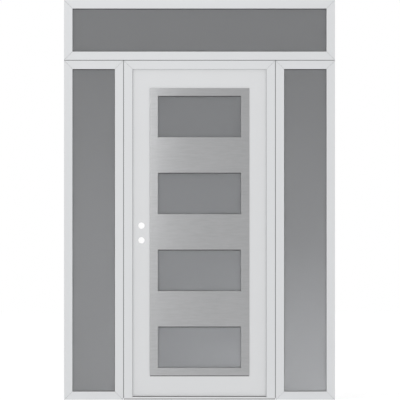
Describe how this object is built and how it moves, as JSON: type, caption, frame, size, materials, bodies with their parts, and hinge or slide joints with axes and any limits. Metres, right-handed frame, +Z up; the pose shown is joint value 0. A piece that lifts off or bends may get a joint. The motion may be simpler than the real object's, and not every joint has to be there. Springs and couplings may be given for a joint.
{
  "type": "entry door with sidelights and transom",
  "caption": "Inward-opening entry door leaf with glazed slots in a brushed steel panel, between two fixed frosted sidelights under a fixed transom light.",
  "frame": {"origin": "under the middle of the threshold, halfway through the depth of the frame", "axes": "+X to the right seen from outside, +Y inwards through the doorway, +Z up"},
  "size_m": [1.626, 0.087, 2.4],
  "materials": {
    "frame": "white satin coated profile",
    "leaf_skin": "white satin paint on sheet steel",
    "leaf_core": "white edge of the leaf",
    "steel_panel": "brushed",
    "frosted_glass": "acid etched",
    "spacer": "matt",
    "threshold": "satin anodised",
    "dark_plastic": "matt",
    "seal": "matt",
    "hinge": "satin"
  },
  "bodies": {
    "frame": {"bottom_hinge_frame_half": "hinge", "coupling_strips": "dark_plastic", "door_head": "frame", "door_weatherstrip": "seal", "fixed_light_spacers": "spacer", "hinge_jamb": "frame", "latch_jamb": "frame", "left_sidelight_beads": "frame", "left_sidelight_bottom_rail": "frame", "left_sidelight_inner_stile": "frame", "left_sidelight_outer_stile": "frame", "left_sidelight_panes": "frosted_glass", "left_sidelight_top_rail": "frame", "middle_hinge_frame_half": "hinge", "right_sidelight_beads": "frame", "right_sidelight_bottom_rail": "frame", "right_sidelight_inner_stile": "frame", "right_sidelight_outer_stile": "frame", "right_sidelight_panes": "frosted_glass", "right_sidelight_top_rail": "frame", "threshold": "threshold", "threshold_thermal_break": "dark_plastic", "top_hinge_frame_half": "hinge", "transom_beads": "frame", "transom_bottom_rail": "frame", "transom_left_stile": "frame", "transom_panes": "frosted_glass", "transom_right_stile": "frame", "transom_top_rail": "frame"},
    "door_leaf": {"bottom_hinge_leaf_half": "hinge", "door_sweep": "seal", "door_window_inner_panes": "frosted_glass", "door_window_middle_panes": "frosted_glass", "door_window_outer_panes": "frosted_glass", "door_window_spacers": "spacer", "inner_steel_panel": "steel_panel", "leaf_hinge_stile": "leaf_core", "leaf_inner_skin": "leaf_skin", "leaf_lock_stile": "leaf_core", "leaf_outer_skin": "leaf_skin", "leaf_rails": "leaf_core", "middle_hinge_leaf_half": "hinge", "outer_steel_panel": "steel_panel", "top_hinge_leaf_half": "hinge"}
  },
  "joints": [
    {"name": "door_swing", "type": "hinge", "parent": "frame", "child": "door_leaf", "pos_m": [0.417, 0.044, 1.01], "axis": [0, 0, -1], "range_deg": [0, 110]}
  ]
}
